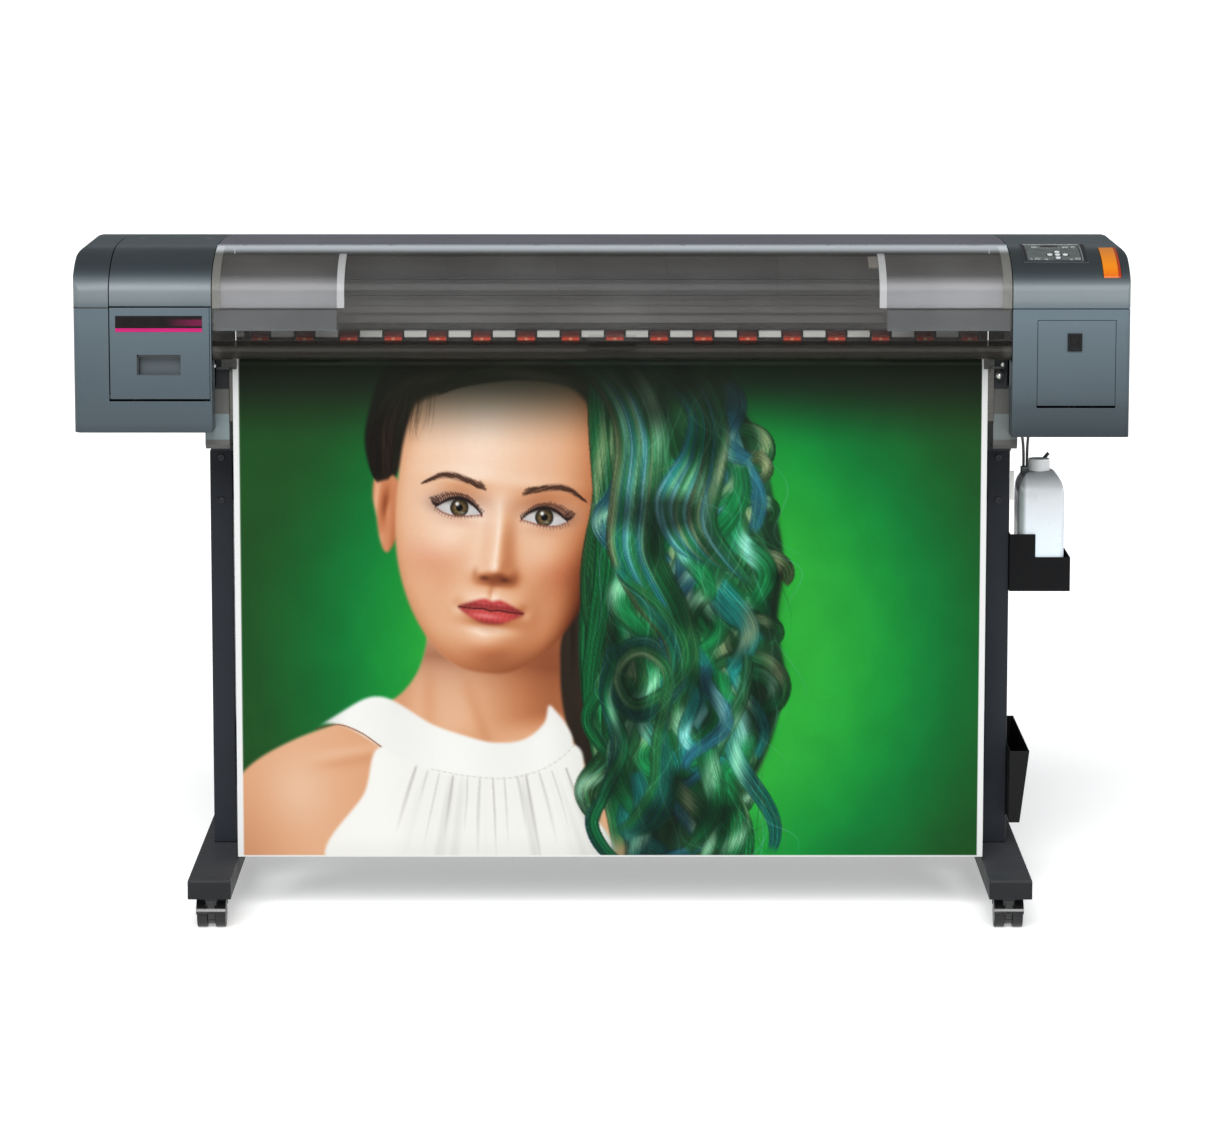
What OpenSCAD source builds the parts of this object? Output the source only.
/* [Body] */
// Overall width of the printer body
body_w = 1902; // [1890:2:1920]
// Wall thickness of the moulded covers
wall = 3; // [2.5:0.1:3.5]
// Front-to-back half depth of the ellipse at the top front of the covers
nose_a = 181; // [178:1:184]
// Height of the ellipse at the top front of the covers
nose_b = 75; // [73:1:77]
// Height of the horizontal seam between lower and upper covers
seam_z = 1127; // [1120:1:1132]
// Underside of the left end
left_z = 899; // [899:1:901]
// Underside of the right end
right_z = 891; // [891:1:893]

/* [Media] */
// Width of the media
media_w = 1371; // [1360:1:1372]
// Thickness of the media
media_t = 0.8; // [0.6:0.1:0.8]
// Height of the lower edge of the hanging print
print_z0 = 104; // [100:4:400]
// Radius of the supply roll
roll_r = 59.3; // [40:0.1:59.3]

/* [Platen and rollers] */
// Height of the platen's surface
platen_z = 1030; // [1030:1:1031]
// Number of pinch rollers
pinch_n = 17; // [9:2:17]
// Distance from one pinch roller to the next
pinch_pitch = 82; // [60:1:82]
// Radius of the feed roller
feed_r = 14.7; // [14:0.1:14.7]
// Radius of each pinch roller
pinch_r = 7.7; // [7:0.1:7.7]

/* [Stand] */
// Length of each foot
foot_len = 780; // [780:10:800]
// Width of each foot
foot_w = 78; // [74:1:80]
// Height of each foot's section
foot_h = 35; // [33:1:36]
// Radius of the caster wheels
wheel_r = 25; // [25:0.5:25.5]
// Front-to-back depth of each post
post_d = 100; // [90:2:104]

/* [Keys] */
// Radius of each panel key
key_r = 5; // [4:0.2:5]

/* [Hidden] */
hw = body_w / 2;
mx = 15.5;                       // middle of the media, posts and platen
ml = mx - media_w / 2;           // left edge of the media
mr = mx + media_w / 2;           // right edge of the media
nose_y = -99;                    // centre of the top front ellipse
nose_z = 1150;
front_y = nose_y - nose_a;       // front face, -280
back_y = 290;
lx = -702;                       // inner end of the left section
rx = 739.5;                      // inner end of the right section
split_x = -886;                  // joint between end cap and door on the left
sheet_y = -209;                  // plane in which the print hangs
rear_y = 150;                    // centre of the rear guide
rear_r = 60;                     // radius of the media over the rear guide
roll_y = rear_y + rear_r + 60;   // supply roll axis
roll_z = 760;
foot_z = 63;
post_z1 = 838;
pl = -676; pr = 712;             // ends of the platen
swivel_y = 345;
trail = 17;
seg = 14;
eps = 0.01;

// ---------- helpers ----------
// extrude a (y, z) outline along X from x0 to x1
module along_x(x0, x1) { translate([x0, 0, 0]) rotate([90, 0, 90]) linear_extrude(x1 - x0) children(); }
// extrude an (x, z) outline along Y from y0 to y1
module along_y(y0, y1) { translate([0, y1, 0]) rotate([90, 0, 0]) linear_extrude(y1 - y0) children(); }
module box(a, b) { translate(a) cube(b - a); }
module rod_x(x0, x1, y, z, r, fn = 48) { translate([x0, y, z]) rotate([0, 90, 0]) cylinder(h = x1 - x0, r = r, $fn = fn); }
module rod_y(y0, y1, x, z, r, fn = 48) { translate([x, y1, z]) rotate([90, 0, 0]) cylinder(h = y1 - y0, r = r, $fn = fn); }

function arc(cy, cz, ry, rz, a0, a1, n = seg) =
  [for (i = [0 : n]) let (a = a0 + (a1 - a0) * i / n) [cy + ry * cos(a), cz + rz * sin(a)]];
// side outline of the covers, drawn in by w all round
function side_pts(w, zb) = concat(
  [[front_y + w, zb]],
  arc(nose_y, nose_z, nose_a - w, nose_b - w, 180, 90),
  [[0, 1226 - w], [140, 1221 - w]],
  arc(268, 1191, 22 - w, 22 - w, 80, 0, 5),
  [[back_y - w, zb]]);
// front outline of a section from x0 to x1 with its rounded top corner on one side
function front_pts(x0, x1, side, w, zb) = side < 0 ?
  concat([[x1, zb], [x1, 1300], [x0 + 20, 1300], [x0 + 20, 1226 - w]], arc(x0 + 20, 1209, 20 - w, 17 - w, 90, 180, 10), [[x0 + w, zb]]) :
  concat([[x0, zb], [x0, 1300], [x1 - 20, 1300], [x1 - 20, 1226 - w]], arc(x1 - 20, 1209, 20 - w, 17 - w, 90, 0, 10), [[x1 - w, zb]]);
// plan outline with its rounded front corner on one side
function plan_pts(x0, x1, side, w) = side < 0 ?
  concat([[x1, front_y - 5], [x1, back_y + 5], [x0 + w, back_y + 5]], arc(x0 + 16, front_y + 16, 16 - w, 16 - w, 180, 270, 8)) :
  concat([[x0, front_y - 5], [x0, back_y + 5], [x1 - w, back_y + 5]], arc(x1 - 9, front_y + 9, 9 - w, 9 - w, 0, -90, 6));
module end_form(x0, x1, side, w, zb) {
  intersection() {
    along_x(x0 - 1, x1 + 1) polygon(side_pts(w, zb));
    along_y(front_y - 2, back_y + 2) polygon(front_pts(x0, x1, side, w, zb));
    translate([0, 0, zb - 1]) linear_extrude(400) polygon(plan_pts(x0, x1, side, w));
  }
}
module end_shell(x0, x1, side, zb) {
  difference() {
    end_form(x0, x1, side, 0, zb);
    difference() {
      end_form(x0 - (side < 0 ? 0 : 2), x1 + (side < 0 ? 2 : 0), side, wall, zb + wall);
      box([x0 - 5, front_y - 5, zb - 5], [x0 - 4, front_y - 4, zb - 4]);
    }
  }
}

// ---------- stand ----------
module foot(cx) color([0.16, 0.17, 0.19]) {
  difference() {
    along_x(cx - foot_w / 2, cx + foot_w / 2) polygon([[-foot_len / 2, foot_z], [-foot_len / 2, foot_z + foot_h - 3],
      [-foot_len / 2 + 3, foot_z + foot_h], [foot_len / 2 - 3, foot_z + foot_h], [foot_len / 2, foot_z + foot_h - 3], [foot_len / 2, foot_z]]);
    box([cx - foot_w / 2 + 3, -foot_len / 2 + 3, foot_z - 1], [cx + foot_w / 2 - 3, foot_len / 2 - 3, foot_z + foot_h - 3]);
  }
}
module left_foot() foot(-709);
module right_foot() foot(739);
module post(cx) color([0.17, 0.18, 0.2]) difference() {
  box([cx - 21, -post_d / 2, foot_z + foot_h], [cx + 21, post_d / 2, post_z1]);
  box([cx - 18.5, -post_d / 2 + 2.5, foot_z + foot_h - 1], [cx + 18.5, post_d / 2 - 2.5, post_z1 + 1]);
  for (z = [745, 825]) rod_y(-post_d / 2 - 1, -post_d / 2 + 4, cx, z, 4.05);
}
module left_post() post(-705);
module right_post() post(735);
module rect_beam(y0, y1, z0, z1, t) difference() {
  box([-684, y0, z0], [714, y1, z1]);
  box([-685, y0 + t, z0 + t], [715, y1 - t, z1 - t]);
}
module lower_cross_beam() color([0.15, 0.16, 0.18]) rect_beam(-30, 30, 205, 325, 2.5);
module upper_cross_beam() color([0.15, 0.16, 0.18]) rect_beam(-38, 38, 742, 832, 3);
module post_brackets() color([0.35, 0.36, 0.38]) for (cx = [-701, 735]) difference() {
  along_x(cx - 22, cx + 22) polygon([[-56, 838], [50, 838], [50, 842], [-52, 842], [-52, 856], [50, 856], [50, 860], [-54, 860], [-56, 858]]);
  rod_y(-57, -51, cx + (cx < 0 ? 6 : 5), 849, 3.05);
}
module screw_y(x, y, z, rh, rs, len) difference() {
  union() { rod_y(y - 3, y, x, z, rh, 32); rod_y(y - 1, y + len, x, z, rs, 32); }
  translate([x, y - 1, z]) rotate([90, 0, 0]) cylinder(h = 3, r = rh * 0.42, $fn = 6);
}
module frame_screws() color([0.6, 0.61, 0.63]) {
  for (cx = [-705, 735]) for (z = [745, 825]) screw_y(cx, -post_d / 2, z, 6, 4, 2.4);
  for (cx = [-701, 735]) screw_y(cx + (cx < 0 ? 6 : 5), -56, 849, 5, 3, 3.9);
}

// ---------- casters ----------
module each_corner() for (cx = [-709, 739]) for (cy = [-swivel_y, swivel_y]) translate([cx, cy, 0]) children();
module caster_plates() color([0.5, 0.51, 0.53]) each_corner() difference() {
  union() {
    box([-35.8, -34, foot_z], [35.8, 34, foot_z + 4]);
    translate([0, 0, foot_z - 3]) cylinder(h = 4, r = 15, $fn = 48);
  }
  translate([0, 0, foot_z - 4]) cylinder(h = 10, r = 5.55, $fn = 48);
}
module caster_hood(cx, cy) translate([cx, cy, 0]) color([0.06, 0.06, 0.07]) {
  difference() {
    union() {
      // web between the two wheels
      rod_x(-6.5, 6.5, trail, wheel_r, 20, 48);
      along_x(-6.5, 6.5) polygon([[-12, 54], [14, 54], [trail + 18, 34], [trail - 18, 16], [-12, 44]]);
      // fender over the wheels
      intersection() {
        difference() { rod_x(-27, 27, trail, wheel_r, 30.5, 72); rod_x(-28, 28, trail, wheel_r, 27, 72); }
        along_x(-30, 30) polygon([[trail - 40, wheel_r + 2], [trail + 40, wheel_r + 14], [trail + 40, 60], [trail - 40, 60]]);
      }
      along_x(-6.5, 6.5) polygon([[trail - 10, 30], [trail + 10, 30], [trail + 8, 54], [trail - 8, 54]]);
      // swivel boss and stem
      translate([0, 0, 44]) cylinder(h = 15.5, r = 12, $fn = 48);
      translate([0, 0, 50]) cylinder(h = foot_z + 3.5 - 50, r = 5.5, $fn = 48);
    }
    rod_x(-30, 30, trail, wheel_r, 4.05, 48);
    // room for the wheels beside the web
    for (s = [-1, 1]) rod_x(s > 0 ? 6.5 : -26.5, s > 0 ? 26.5 : -6.5, trail, wheel_r, 26.2, 72);
  }
}
module caster_wheels(cx, cy) translate([cx, cy, 0]) color([0.05, 0.05, 0.055]) {
  for (s = [-1, 1]) rod_x(s > 0 ? 7 : -26, s > 0 ? 26 : -7, trail, wheel_r, wheel_r, 72);
  rod_x(-8, 8, trail, wheel_r, 4, 48);
}
module caster_hood_fl() caster_hood(-709, -swivel_y);
module caster_hood_fr() caster_hood(739, -swivel_y);
module caster_hood_rl() caster_hood(-709, swivel_y);
module caster_hood_rr() caster_hood(739, swivel_y);
module caster_wheels_fl() caster_wheels(-709, -swivel_y);
module caster_wheels_fr() caster_wheels(739, -swivel_y);
module caster_wheels_rl() caster_wheels(-709, swivel_y);
module caster_wheels_rr() caster_wheels(739, swivel_y);

// ---------- waste ink and tool pocket ----------
hx0 = 756; hx1 = 869;
module bottle_holder() color([0.08, 0.08, 0.085]) {
  box([hx0, -62, 576], [hx1, 56, 578]);
  box([hx0, -62, 576], [hx0 + 2, 56, 683]);
  box([hx1 - 2, -62, 576], [hx1, 56, 640]);
  box([hx0, 54, 576], [hx1, 56, 640]);
  difference() {
    box([hx0, -62, 576], [hx1, -60, 683]);
    box([804, -63, 640], [hx1 + 1, -59, 684]);
  }
}
bcx = 815; bhw = 43;
module bottle_plan(w, h) translate([bcx, -3, 0]) linear_extrude(h) polygon(concat(
  [for (i = [0 : 6]) [bhw - w - 14 + (14) * cos(i * 15), 55 - w - 14 + 14 * sin(i * 15)]],
  [for (i = [6 : 12]) [-(bhw - w - 14) + 14 * cos(i * 15), 55 - w - 14 + 14 * sin(i * 15)]],
  [for (i = [12 : 18]) [-(bhw - w - 14) + 14 * cos(i * 15), -(55 - w - 14) + 14 * sin(i * 15)]],
  [for (i = [18 : 24]) [bhw - w - 14 + 14 * cos(i * 15), -(55 - w - 14) + 14 * sin(i * 15)]]));
module shoulder(w) intersection() {
  translate([0, 0, 578.3 + w]) bottle_plan(w, 220);
  along_y(-62, 60) polygon(concat([[bcx - 43 + w, 570]], arc(bcx - 18, 748, 25 - w, 48 - w, 180, 90, 7), arc(bcx + 18, 748, 25 - w, 48 - w, 90, 0, 7), [[bcx + 43 - w, 570]]));
  along_x(760, 870) polygon(concat([[-58 + w, 570]], arc(-20, 748, 38 - w, 48 - w, 180, 90, 7), arc(14, 748, 38 - w, 48 - w, 90, 0, 7), [[52 - w, 570]]));
}
module waste_bottle() color([0.93, 0.95, 0.97]) difference() {
  union() {
    shoulder(0);
    translate([813, -12, 790]) cylinder(h = 20, r = 15, $fn = 48);
    translate([790, 18, 780]) cylinder(h = 20, r = 9, $fn = 32);
  }
  shoulder(2);
  translate([813, -12, 780]) cylinder(h = 31, r = 12.5, $fn = 48);
  translate([790, 18, 770]) cylinder(h = 31, r = 6.6, $fn = 32);
}
module bottle_cap() color([0.95, 0.96, 0.97]) difference() {
  union() {
    translate([813, -12, 796.5]) cylinder(h = 22, r = 19.5, $fn = 48);
    translate([819, -12, 815]) rotate([0, 40, 0]) cylinder(h = 18, r = 3.2, $fn = 24);
  }
  translate([813, -12, 796]) cylinder(h = 14.5, r = 15.3, $fn = 48);
}
tube_a = [[777, 10, 902.8], [777, 10, 894], [777.5, 11, 886], [779.5, 13, 876], [782, 15, 864], [784.5, 17, 850], [786, 18, 836], [786.6, 18, 822], [786.8, 18, 806], [786.8, 18, 790], [786.8, 18, 772]];
tube_b = [[797, 6, 902.8], [797, 6, 894], [797, 7, 886], [796.3, 9, 876], [795.2, 12, 864], [794.2, 15, 850], [793.5, 17.5, 836], [793.3, 18, 822], [793.2, 18, 806], [793.2, 18, 790], [793.2, 18, 772]];
function unit(v) = v / norm(v);
function cross_pts(p, i, r, n) = let (a = p[max(i - 1, 0)], b = p[min(i + 1, len(p) - 1)], t = unit(b - a), u = unit(cross(t, [0, 1, 0])), v = cross(t, u))
  [for (k = [0 : n - 1]) p[i] + r * cos(360 * k / n) * u + r * sin(360 * k / n) * v];
module tube(p, r, n = 8) polyhedron(
  points = [for (i = [0 : len(p) - 1]) each cross_pts(p, i, r, n)],
  faces = concat([[for (k = [n - 1 : -1 : 0]) k]],
    [for (i = [0 : len(p) - 2]) for (k = [0 : n - 1]) [i * n + k, i * n + (k + 1) % n, (i + 1) * n + (k + 1) % n, (i + 1) * n + k]],
    [[for (k = [0 : n - 1]) (len(p) - 1) * n + k]]));
module drain_tubes() color([0.2, 0.2, 0.21]) { tube(tube_a, 2.6); tube(tube_b, 2.6); }
module tool_pocket() color([0.09, 0.09, 0.1]) difference() {
  along_y(-120, 250) polygon([[756, 150], [776, 150], [793, 285], [756, 285]]);
  along_y(-118, 248) polygon([[758, 152], [774.3, 152], [791.3, 287], [758, 287]]);
}

// ---------- frame of the printer ----------
module side_frames() color([0.45, 0.44, 0.43]) for (cx = [-699, 734]) along_x(cx - 22, cx + 22)
  polygon([[-206, 868], [-198, 860], [190, 860], [190, 902.5], [-192, 902.5], [-192, 975], [-200, 975], [-206, 969]]);
module base_plate() color([0.55, 0.56, 0.57]) difference() {
  union() {
    box([-880, -188, 903], [880, 195, 909]);
    for (x = [-672, -330, 15, 360, 702]) box([x - 5, -170, 908], [x + 5, 145, 1010]);
  }
  for (x = [-672, -330, 15, 360, 702]) box([x - 6, -22, 990], [x + 6, 22, 1011]);
}
function platen_pts() = concat([[-176, 1010], [-176, platen_z]],
  [[rear_y, platen_z]], arc(rear_y, platen_z - rear_r + 0.4, rear_r - 1, rear_r - 1, 84, 0, 12),
  arc(rear_y, platen_z - rear_r + 0.4, rear_r - 5, rear_r - 5, 0, 70, 10), [[rear_y, 1010]]);
module platen() color([0.62, 0.63, 0.64]) difference() {
  union() {
    along_x(pl, pr) polygon(platen_pts());
    // bearing lugs of the pinch shaft
    for (x = [pl, pr - 6]) box([x, 40, 1012], [x + 6, 64, 1060]);
  }
  // channel of the feed roller
  box([ml + 10, -17, 1000], [mr - 10, 17, 1040]);
  rod_x(pl - 1, pr + 1, 0, 1015, 6.05);
  rod_x(pl - 1, pr + 1, 52, 1048, 5.05);
  rod_x(pr - 9, pr + 1, -150, 1018, 4.05);
  // suction holes
  for (i = [0 : 15]) translate([ml + 60 + i * 84, -60, 1000]) cylinder(h = 40, r = 2.5, $fn = 16);
}
function guide_pts() = concat([[-178, 1029.9], [-186, 1029.9]], arc(-185, 1006, 23.4, 23.6, 90, 180, 8), [[-208.4, 912], [-200, 904.5], [-192.5, 904.5], [-192.5, 907.5], [-199, 907.5], [-205.4, 914]],
  arc(-185, 1006, 20.4, 20.6, 180, 90, 8), [[-178, 1026.6]]);
module exit_guide() color([0.5, 0.5, 0.5]) along_x(pl, pr) polygon(guide_pts());
module carriage_rail() color([0.5, 0.51, 0.53]) difference() {
  union() {
    difference() {
      box([-868, 40, 1066], [868, 100, 1190]);
      box([-869, 44, 1070], [869, 96, 1186]);
    }
    box([-868, 28, 1086], [868, 40 + eps, 1098]);
    for (x = [-876, 868]) box([x, -60, 909], [x + 8, 180, 1190]);
  }
  for (i = [0 : 5]) box([-494 + i * 204.6, 39, 1110], [-492.5 + i * 204.6, 41, 1191]);
  for (x = [-840, 840]) rod_y(39, 45, x, 1134, 4.05);
}
ccx = 804;
module carriage() color([0.13, 0.13, 0.14]) difference() {
  union() {
    box([ccx - 60, -150, 1036], [ccx + 60, -38, 1112]);
    box([ccx - 60, -150, 1072], [ccx + 60, 39, 1112]);
    along_x(ccx - 60, ccx + 60) polygon([[-150, 1111], [-150, 1136], [-136, 1152], [-10, 1152], [10, 1136], [10, 1111]]);
  }
  box([ccx - 61, 27.4, 1085.4], [ccx + 61, 40, 1098.6]);
  translate([ccx - 44, -130, 1030]) cylinder(h = 130, r = 5.05, $fn = 40);
  // underside recess round the heads
  difference() {
    box([ccx - 50, -112, 1030], [ccx + 50, -46, 1044]);
    for (s = [-1, 1]) box([ccx + s * 24 - 16, -104, 1029], [ccx + s * 24 + 16, -54, 1045]);
  }
}
module cutter_blade() color([0.7, 0.71, 0.73]) {
  translate([ccx - 44, -130, 1044]) cylinder(h = 112, r = 5, $fn = 40);
  translate([ccx - 44, -130, 1156]) cylinder(h = 5, r = 8, $fn = 32);
  box([ccx - 46.5, -130.5, 1036], [ccx - 41.5, -129.5, 1044.5]);
}
module belt_loop(r) { translate([-840, 1134]) circle(r = r, $fn = 64); translate([840, 1134]) circle(r = r, $fn = 64); translate([-840, 1134 - r]) square([1680, 2 * r]); }
module drive_belt() color([0.1, 0.1, 0.1]) along_y(18, 26) difference() { belt_loop(16); belt_loop(14); }
module pulley(x) color([0.6, 0.6, 0.62]) { rod_y(18.5, 25.5, x, 1134, 13.7, 64); rod_y(16.5, 18.6, x, 1134, 9, 32); rod_y(25.4, 43.5, x, 1134, 4, 40); }
module drive_pulley() pulley(840);
module idler_pulley() pulley(-840);

// ---------- media drive ----------
module feed_roller() color([0.62, 0.62, 0.63]) { rod_x(ml + 12, mr - 12, 0, 1015, feed_r, 72); rod_x(pl + 1, pr - 1, 0, 1015, 6, 40); }
module pinch_rollers() color([0.25, 0.25, 0.26]) for (i = [0 : pinch_n - 1]) let (x = 24 + (i - (pinch_n - 1) / 2) * pinch_pitch) {
  rod_x(x - 10.6, x + 10.6, 0, 1039, pinch_r, 40); rod_x(x - 15, x + 15, 0, 1039, 2.5, 24);
}
module pinch_levers() color([0.72, 0.17, 0.08]) {
  difference() {
    for (i = [0 : pinch_n - 1]) let (x = 24 + (i - (pinch_n - 1) / 2) * pinch_pitch) difference() {
      along_x(x - 19.5, x + 19.5) polygon([[-30, 1038], [-26, 1034.5], [16, 1034.5], [42, 1043], [58, 1043], [58, 1053], [30, 1053], [-14, 1052], [-30, 1049]]);
      box([x - 11.2, -10, 1030], [x + 11.2, 10, 1049]);
      rod_x(x - 15.3, x + 15.3, 0, 1039, 2.56, 24);
    }
  }
  rod_x(pl + 0.5, pr - 0.5, 52, 1048, 5, 40);
}
module media_lever() color([0.3, 0.3, 0.31]) {
  rod_x(pr - 8, pr + 14, -150, 1018, 4, 40);
  along_x(pr + 6, pr + 12) polygon([[-143, 1024], [-156, 1026], [-220, 1001], [-217, 993], [-150, 1011]]);
  translate([pr + 9, -221, 996.5]) sphere(r = 7, $fn = 40);
}
module edge_clips() color([0.85, 0.85, 0.84]) {
  for (s = [0, 1]) let (x0 = s == 0 ? ml - 20 : mr - 8, x1 = s == 0 ? ml + 8 : mr + 11.5) {
    box([x0, -211.5, 1007], [x1, -210, 1026]);
    box([s == 0 ? x0 : mr + 3, -211.5, 1007], [s == 0 ? ml - 3 : x1, -209, 1026]);
  }
}
// path of the media: up the front, over the platen and down to the roll
function media_line() = concat([[sheet_y, print_z0], [sheet_y, 560]],
  arc(-185, platen_z + media_t / 2 - 24, 24, 24, 180, 90, 10),
  arc(rear_y, platen_z + media_t / 2 - rear_r, rear_r, rear_r, 90, 0, 14), [[rear_y + rear_r, roll_z]]);
function nrm(p, i) = let (t = unit(p[min(i + 1, len(p) - 1)] - p[max(i - 1, 0)])) [-t[1], t[0]];
module printed_sheet() color([0.1, 0.55, 0.15]) let (p = media_line(), n = len(p))
  along_x(ml, mr) polygon(concat([for (i = [0 : n - 1]) p[i] + nrm(p, i) * media_t / 2], [for (i = [n - 1 : -1 : 0]) p[i] - nrm(p, i) * media_t / 2]));
module media_roll() color([0.92, 0.92, 0.9]) {
  rod_x(ml, mr, roll_y, roll_z, roll_r, 120);
  rod_x(ml - 8, ml - 1, roll_y, roll_z, 70, 72);
  rod_x(mr + 1, mr + 8, roll_y, roll_z, 70, 72);
  rod_x(-716, 746, roll_y, roll_z, 12, 48);
}
module roll_supports() color([0.18, 0.19, 0.21]) for (x = [-712, 728]) difference() {
  along_x(x, x + 14) polygon([[50, 680], [58, 672], [250, 728], [292, 734], [292, 772], [248, 772], [225, 758], [50, 748]]);
  rod_x(x - 1, x + 15, roll_y, roll_z, 12.05, 48);
  box([x - 1, roll_y - 12.05, roll_z], [x + 15, roll_y + 12.05, roll_z + 20]);
}

// ---------- covers ----------
module hinge_lug(x0, x1, zc) difference() {
  box([x0, front_y + wall - eps, zc - 4], [x1, front_y + 10.5, zc + 4.5]);
  rod_x(x0 - 1, x1 + 1, front_y + 6, zc, 2.05, 32);
}
module cover_lug(x0, x1) difference() {
  box([x0, -117, 1215], [x1, -107, 1222.8]);
  rod_x(x0 - 1, x1 + 1, -112, 1222.5, 1.45, 32);
}
module left_end_cover() color([0.27, 0.31, 0.34]) {
  difference() {
    end_shell(-hw, lx, -1, left_z);
    box([split_x - 0.8, front_y - 3, seam_z - 0.8], [lx + 1, 60, 1240]);
    box([split_x - 0.8, front_y - 3, 956], [lx + 1, front_y + wall + 0.5, seam_z + 1]);
    box([-723, -208, left_z - 1], [lx + 1, 192, left_z + wall + 1]);
  }
  difference() {
    union() {
      box([lx - 3, front_y, left_z + wall - eps], [lx, -212, 1026]);
      box([lx - 3, front_y, 1025], [lx, front_y + 14, seam_z - 1.6]);
    }
    rod_x(lx - 4, lx + 1, front_y + 6, 964, 2.05, 32);
  }
  hinge_lug(split_x - 8, split_x - 2, 964);
}
module left_top_cover() color([0.25, 0.29, 0.32]) {
  intersection() {
    end_shell(-hw, lx, -1, left_z);
    difference() {
      box([split_x + 0.8, front_y - 3, seam_z + 0.8], [lx + 1, 58.5, 1240]);
      rod_x(lx - 9, lx + 2, -112, 1222.5, 1.45, 32);
    }
  }
  cover_lug(lx - 8, lx);
}
module left_door() color([0.28, 0.33, 0.36]) {
  difference() {
    union() {
      box([split_x + 1, front_y, 960], [lx - 3.8, front_y + wall, seam_z - 2]);
      box([-839, front_y + 1, 1001], [-755.5, front_y + 24, 1042.5]);
      for (x = [split_x + 1, lx - 11]) box([x, front_y + wall - eps, 961], [x + 7, front_y + 8.5, 967]);
    }
    box([-836.5, front_y - 1, 1003.5], [-758, front_y + 21.5, 1040]);
  }
  rod_x(split_x - 6, split_x + 2, front_y + 6, 964, 2, 32);
  rod_x(lx - 8, lx - 0.5, front_y + 6, 964, 2, 32);
}
sdx0 = 784.7; sdx1 = 924.5; sdz0 = 948; sdz1 = 1102;
module right_cover() color([0.27, 0.31, 0.34]) {
  difference() {
    end_shell(rx, hw, 1, right_z);
    box([rx - 1, front_y - 3, seam_z - 4.8], [hw + 1, back_y + 3, 1240]);
    box([sdx0 - 0.8, front_y - 3, sdz0 - 4], [sdx1 + 0.8, front_y + wall + 1, sdz1 + 0.8]);
    translate([787, 8, right_z - 1]) cylinder(h = 6, r = 18, $fn = 40);
    box([rx - 1, -208, right_z - 1], [758, 192, right_z + wall + 1]);
    box([858, back_y - 6, 924], [890, back_y + 3, 950]);
  }
  box([rx, front_y + wall - eps, right_z + wall - eps], [rx + 3, -212, 1026]);
  hinge_lug(sdx0 - 8, sdx0 - 2, sdz0 + 4);
  hinge_lug(sdx1 + 2, sdx1 + 8, sdz0 + 4);
}
module lamp_box(g) box([903 - g, -266 - g, 1172 - g], [934.5 + g, -150 + g, 1240]);
module right_top_cover() color([0.25, 0.29, 0.32]) {
  difference() {
    end_shell(rx, hw, 1, right_z);
    box([rx - 1, front_y - 3, right_z - 1], [hw + 1, back_y + 3, seam_z - 3.2]);
    lamp_box(0.6);
    rod_x(rx - 2, rx + 9, -112, 1222.5, 1.45, 32);
    for (k = key_list) key_axis(k) cylinder(h = 30, r = key_r + 0.4, center = true, $fn = 32);
    box([794, -158, 1200], [834, -128, 1240]);
  }
  cover_lug(rx, rx + 8);
}
module service_door() color([0.28, 0.33, 0.36]) {
  difference() {
    box([sdx0, front_y, sdz0], [sdx1, front_y + wall, sdz1]);
    rod_y(front_y - 1, front_y + wall + 1, 851, 1063, 5.05);
  }
  for (x = [sdx0, sdx1 - 7]) box([x, front_y + wall - eps, sdz0 + 1], [x + 7, front_y + 8.5, sdz0 + 7]);
  rod_x(sdx0 - 6, sdx0 + 2, front_y + 6, sdz0 + 4, 2, 32);
  rod_x(sdx1 - 2, sdx1 + 6, front_y + 6, sdz0 + 4, 2, 32);
}
module door_latch() color([0.05, 0.05, 0.05]) {
  difference() {
    box([838, front_y - 3.3, 1047], [864, front_y - 0.3, 1079]);
    box([843, front_y - 4, 1052], [859, front_y - 2, 1074]);
  }
  rod_y(front_y - 3, front_y + 7, 851, 1063, 5);
  box([846, front_y + 6, 1058], [856, front_y + 9, 1101]);
}
module rear_top_cover() color([0.26, 0.3, 0.33]) along_x(lx + 1.2, rx - 1.2)
  polygon(concat([[-109, 1224.9], [0, 1226], [140, 1221]], arc(268, 1191, 22, 22, 80, 0, 5), [[290, 1150], [287, 1150]],
    arc(268, 1191, 19, 19, 0, 80, 5), [[140, 1218], [0, 1223], [-109, 1221.9]]));
module rear_cover() color([0.24, 0.27, 0.3]) difference() {
  along_x(lx + 1.2, rx - 1.2) polygon([[287, 1148], [290, 1148], [290, 990], [222, 990], [222, 993], [287, 993]]);
  for (i = [0 : 11]) box([-480 + i * 26, 286, 1060], [-468 + i * 26, 291, 1110]);
  for (i = [0 : 11]) box([240 + i * 26, 286, 1060], [252 + i * 26, 291, 1110]);
}
function lid_outer() = concat([[-112.3, nose_z + nose_b * sqrt(1 - pow(13.3 / nose_a, 2))]], arc(nose_y, nose_z, nose_a, nose_b, 94.3, 180, 16), arc(-262, 1048, 18, 18, 180, 270, 8), [[-250, 1030]]);
function lid_inner() = concat([[-250, 1033]], arc(-262, 1048, 15, 15, 270, 180, 8), arc(nose_y, nose_z, nose_a - 3, nose_b - 3, 180, 94.4, 16), [[-112.3, nose_z + (nose_b - 3) * sqrt(1 - pow(13.3 / (nose_a - 3), 2))]]);
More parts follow.
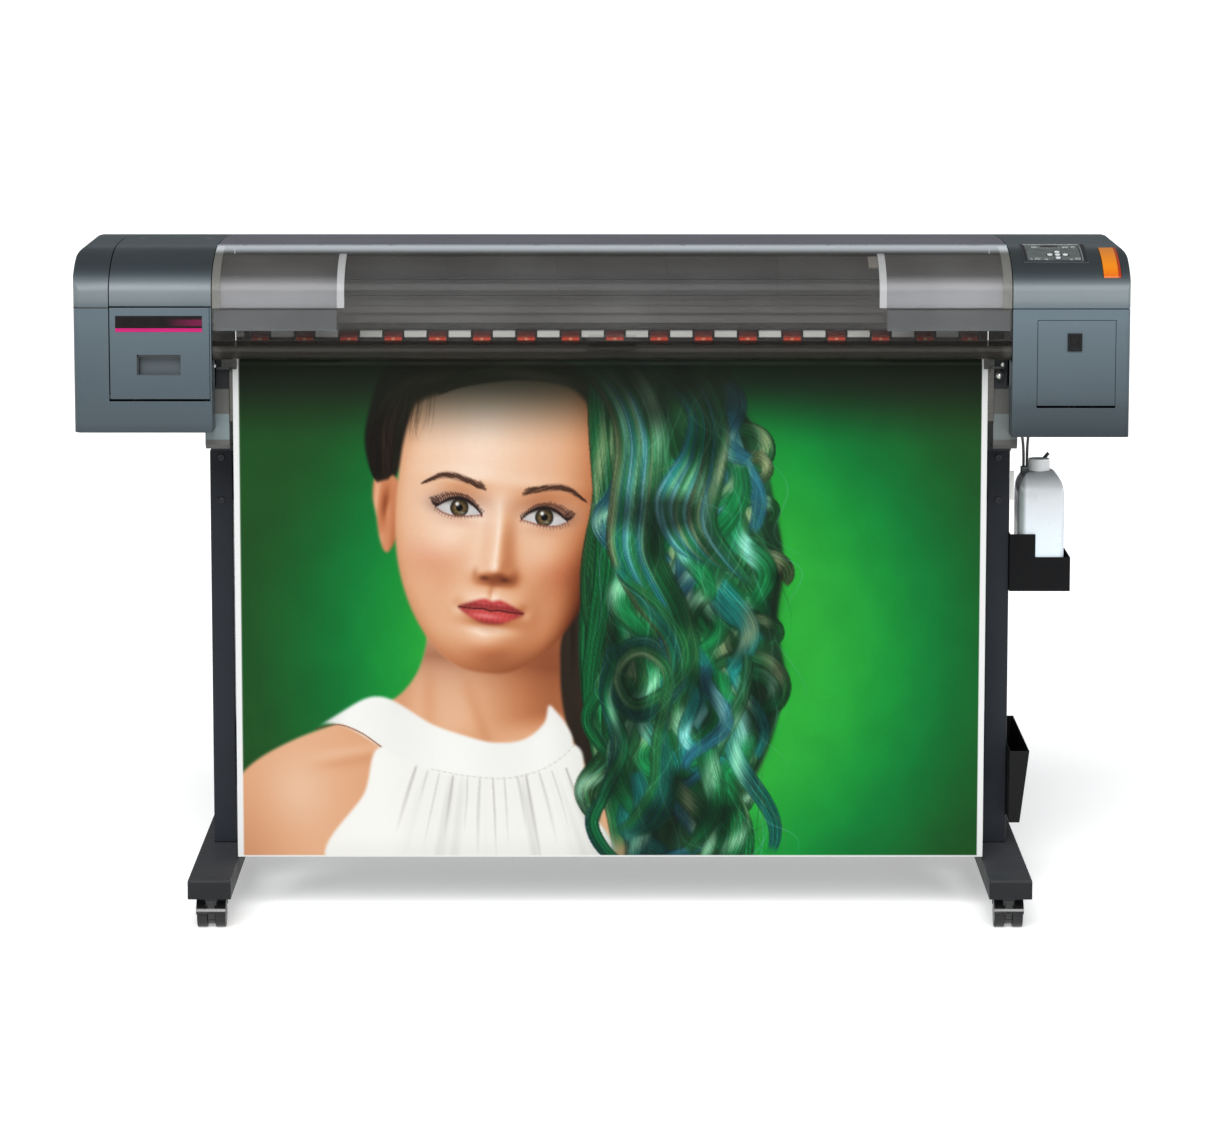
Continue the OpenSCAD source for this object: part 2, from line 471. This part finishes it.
module front_cover() color([0.3, 0.29, 0.27, 0.45]) {
  along_x(lx + 1.5, rx - 1.5) polygon(concat(lid_outer(), lid_inner()));
  // finger grip at the middle of the lower edge
  difference() {
    box([-27, front_y - 9, 1051], [64, front_y + 1, 1080]);
    box([-24, front_y - 7, 1048], [61, front_y - 0.01, 1077]);
  }
  rod_x(lx - 6, lx + 9, -112, 1222.5, 1.4, 32);
  rod_x(rx - 9, rx + 6, -112, 1222.5, 1.4, 32);
}
function panel_pts(w0, w1) = concat([[front_y + w0, seam_z - 3]], arc(nose_y, nose_z, nose_a - w0, nose_b - w0, 180, 112, 12), arc(nose_y, nose_z, nose_a - w1, nose_b - w1, 112, 180, 12), [[front_y + w1, seam_z - 3]]);
module inner_panels() color([0.62, 0.62, 0.66]) {
  along_x(lx + 2, -476) polygon(panel_pts(9, 11));
  along_x(513, rx - 2) polygon(panel_pts(9, 11));
  along_x(-476.01, -463) polygon(panel_pts(7, 14));
  along_x(500, 513.01) polygon(panel_pts(7, 14));
}
module panel_band(x0, x1, y0, y1, w0, w1) intersection() {
  along_x(x0, x1) polygon(concat(arc(nose_y, nose_z, nose_a - w0, nose_b - w0, 180, 90, 28), arc(nose_y, nose_z, nose_a - w1, nose_b - w1, 90, 180, 28)));
  box([x0 - 1, y0, 1100], [x1 + 1, y1, 1300]);
}
key_list = [[825, -186], [825, -214], [811, -200], [839, -200], [825, -200]];
function top_z(y) = nose_z + nose_b * sqrt(1 - pow((y - nose_y) / nose_a, 2));
key_tilt = 15;
module key_axis(k) translate([k[0], k[1], top_z(k[1])]) rotate([key_tilt, 0, 0]) children();
module control_panel() color([0.1, 0.1, 0.11]) difference() {
  union() {
    panel_band(762, 880, -230, -115, -1.4, 0);
    // display window standing through the cover
    difference() { box([795, -157, 1204], [833, -129, 1223.4]); box([797, -155, 1203], [831, -131, 1219]); }
  }
  for (k = key_list) key_axis(k) cylinder(h = 30, r = key_r + 0.4, center = true, $fn = 32);
}
module key(k, r) color([0.75, 0.76, 0.78]) key_axis(k) translate([0, 0, -6]) { cylinder(h = 8.6, r = r, $fn = 32); translate([0, 0, -1.5]) cylinder(h = 1.6, r = r + 1.2, $fn = 32); }
module key_up() key(key_list[0], key_r);
module key_down() key(key_list[1], key_r);
module key_left() key(key_list[2], key_r);
module key_right() key(key_list[3], key_r);
module key_enter() key(key_list[4], key_r);
module status_lamp() color([1, 0.5, 0.05]) intersection() {
  difference() {
    end_form(rx, hw, 1, -1, right_z);
    end_form(rx - 2, hw, 1, 2.5, right_z - 5);
  }
  lamp_box(0);
}
module ink_cartridges() color([0.12, 0.12, 0.13]) for (i = [0 : 7]) box([-878 + i * 19.2, -250, 966], [-861 + i * 19.2, -70, 1031]);
module power_inlet() color([0.05, 0.05, 0.05]) difference() {
  union() {
    box([856, back_y, 922], [892, back_y + 3, 952]);
    box([858.5, back_y - 22, 924.5], [889.5, back_y + eps, 949.5]);
  }
  difference() {
    box([861, back_y - 17, 927], [887, back_y + 4, 947]);
    box([873, back_y - 18, 940], [875, back_y - 5, 944]);
    for (x = [865.5, 880.5]) box([x, back_y - 18, 934], [x + 2, back_y - 5, 938]);
  }
}

left_foot();
right_foot();
left_post();
right_post();
lower_cross_beam();
upper_cross_beam();
post_brackets();
frame_screws();
caster_plates();
caster_hood_fl();
caster_hood_fr();
caster_hood_rl();
caster_hood_rr();
caster_wheels_fl();
caster_wheels_fr();
caster_wheels_rl();
caster_wheels_rr();
bottle_holder();
waste_bottle();
bottle_cap();
drain_tubes();
tool_pocket();
base_plate();
side_frames();
left_end_cover();
left_top_cover();
left_door();
right_cover();
right_top_cover();
service_door();
door_latch();
rear_top_cover();
rear_cover();
front_cover();
inner_panels();
platen();
exit_guide();
carriage_rail();
carriage();
cutter_blade();
drive_belt();
drive_pulley();
idler_pulley();
feed_roller();
pinch_rollers();
pinch_levers();
control_panel();
key_up();
key_down();
key_left();
key_right();
key_enter();
status_lamp();
ink_cartridges();
roll_supports();
media_roll();
printed_sheet();
media_lever();
power_inlet();
edge_clips();
